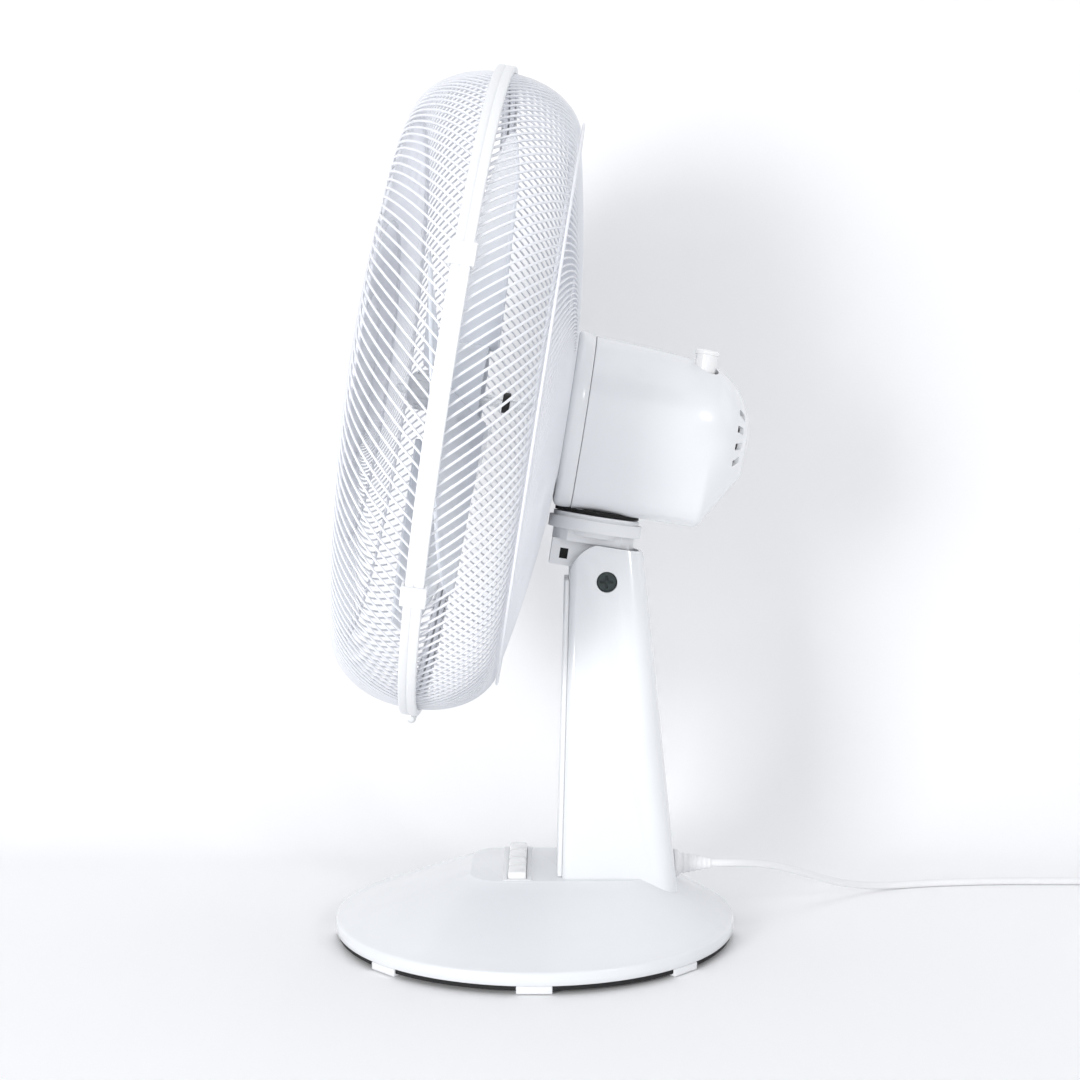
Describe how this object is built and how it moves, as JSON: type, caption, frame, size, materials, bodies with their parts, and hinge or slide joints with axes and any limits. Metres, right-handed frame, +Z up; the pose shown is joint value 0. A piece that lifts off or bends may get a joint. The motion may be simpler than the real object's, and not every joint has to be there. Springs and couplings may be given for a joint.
{
  "type": "desk fan",
  "caption": "Oscillating desk fan: round base with push keys, tapered column, tilting neck, geared motor, bladed rotor and spiral wire grilles.",
  "frame": {"origin": "on the table, under the middle of the whole fan's outline without its cord", "axes": "+Z up, -Y the way the fan blows, +X the fan's own left side"},
  "size_m": [0.432, 0.694, 0.5829],
  "materials": {
    "moulded_white": "smooth glossy moulding",
    "satin_white": "satin moulding",
    "key_white": "polished key caps",
    "coated_wire": "white plastic coated steel wire",
    "badge": "plain disc",
    "blade_plastic": "slightly see-through white blade",
    "zinc_steel": "zinc plated fasteners",
    "shaft_steel": "ground steel",
    "pressed_steel": "dark plated pressing",
    "rubber_black": "soft feet",
    "cord_white": "smooth PVC sheath",
    "plug_white": "moulded plug",
    "plug_brass": "nickelled pins",
    "tie_black": "twist tie",
    "lamination_steel": "stacked laminations",
    "winding_copper": "enamelled copper wire",
    "bearing_bronze": "sintered bronze",
    "bracket_alloy": "die cast",
    "acetal": "natural acetal",
    "capacitor_can": "film capacitor case"
  },
  "bodies": {
    "stand": {"base_cover": "moulded_white", "base_plate": "satin_white", "base_feet": "rubber_black", "base_screws": "zinc_steel", "key_bezel": "satin_white", "switch_body": "acetal", "run_capacitor": "capacitor_can", "column_shell": "moulded_white", "column_front": "satin_white", "column_screws": "zinc_steel", "tilt_bolt": "zinc_steel", "tilt_nut": "zinc_steel", "strain_relief": "cord_white", "cord_lead": "cord_white", "cord_coil": "cord_white", "cord_tie": "tie_black", "cord_tail": "cord_white", "plug_body": "plug_white", "plug_pins": "plug_brass"},
    "off_key": {"key_off": "key_white"},
    "low_key": {"key_low": "key_white"},
    "medium_key": {"key_medium": "key_white"},
    "high_key": {"key_high": "key_white"},
    "neck": {"tilt_bracket": "satin_white", "tilt_washers": "zinc_steel", "neck_plate": "satin_white", "neck_bush": "acetal", "link_anchor_pin": "zinc_steel"},
    "head": {"swivel_bracket": "pressed_steel", "spigot_screw": "zinc_steel", "motor_cover": "moulded_white", "motor_housing": "moulded_white", "housing_screws": "zinc_steel", "front_bracket": "bracket_alloy", "rear_bracket": "bracket_alloy", "motor_bolts": "zinc_steel", "stator_core": "lamination_steel", "windings": "winding_copper", "front_bearing": "bearing_bronze", "rear_bearing": "bearing_bronze", "gearbox_case": "acetal", "rear_grille": "coated_wire", "grille_nut": "satin_white", "front_grille": "coated_wire", "grille_ring": "satin_white", "ring_screw": "zinc_steel", "grille_clips": "satin_white", "front_badge": "badge"},
    "rotor": {"rotor_core": "lamination_steel", "motor_shaft": "shaft_steel", "motor_worm": "bearing_bronze", "drive_pin": "zinc_steel", "fan_blade": "blade_plastic", "blade_nut": "satin_white"},
    "wheel": {"worm_wheel": "acetal"},
    "crank": {"crank": "zinc_steel"},
    "link": {"link_rod": "pressed_steel"},
    "knob": {"oscillation_knob": "satin_white"}
  },
  "joints": [
    {"name": "tilt", "type": "hinge", "parent": "stand", "child": "neck", "pos_m": [0, 0.0437, 0.2406], "axis": [1, 0, 0], "range_deg": [-8, 20]},
    {"name": "oscillation", "type": "hinge", "parent": "neck", "child": "head", "pos_m": [0, 0.04781, 0.34826], "axis": [0, 0.1547, 0.988], "range_deg": [-42, 42]},
    {"name": "rotor_spin", "type": "hinge", "parent": "head", "child": "rotor", "pos_m": [0, -0.05336, 0.3641], "axis": [0, 0.988, -0.1547], "continuous": true},
    {"name": "wheel_spin", "type": "hinge", "parent": "head", "child": "wheel", "pos_m": [0.0179, 0.10204, 0.33977], "axis": [0, 0.1547, 0.988], "continuous": true},
    {"name": "crank_turn", "type": "hinge", "parent": "head", "child": "crank", "pos_m": [0.0179, 0.10204, 0.33977], "axis": [0, 0.1547, 0.988], "range_deg": [-92, 92]},
    {"name": "link_turn", "type": "hinge", "parent": "neck", "child": "link", "pos_m": [-0.0095, 0.04781, 0.34826], "axis": [0, 0.1547, 0.988], "range_deg": [-43, 43]},
    {"name": "knob_slide", "type": "slide", "parent": "head", "child": "knob", "axis": [0, 0.1547, 0.988], "range_m": [-0.0028, 0]},
    {"name": "off_press", "type": "slide", "parent": "stand", "child": "off_key", "axis": [0, 0, -1], "range_m": [0, 0.003], "stiffness_N_per_m": 300, "springref_m": -0.001},
    {"name": "low_press", "type": "slide", "parent": "stand", "child": "low_key", "axis": [0, 0, -1], "range_m": [0, 0.003], "stiffness_N_per_m": 300, "springref_m": -0.001},
    {"name": "medium_press", "type": "slide", "parent": "stand", "child": "medium_key", "axis": [0, 0, -1], "range_m": [0, 0.003], "stiffness_N_per_m": 300, "springref_m": -0.001},
    {"name": "high_press", "type": "slide", "parent": "stand", "child": "high_key", "axis": [0, 0, -1], "range_m": [0, 0.003], "stiffness_N_per_m": 300, "springref_m": -0.001}
  ],
  "couplings": [
    {"joint": "wheel_spin", "follows": "rotor_spin", "ratio": -0.033333},
    {"joint": "crank_turn", "follows": "oscillation", "ratio": -2.1429},
    {"joint": "link_turn", "follows": "oscillation", "ratio": 1}
  ]
}
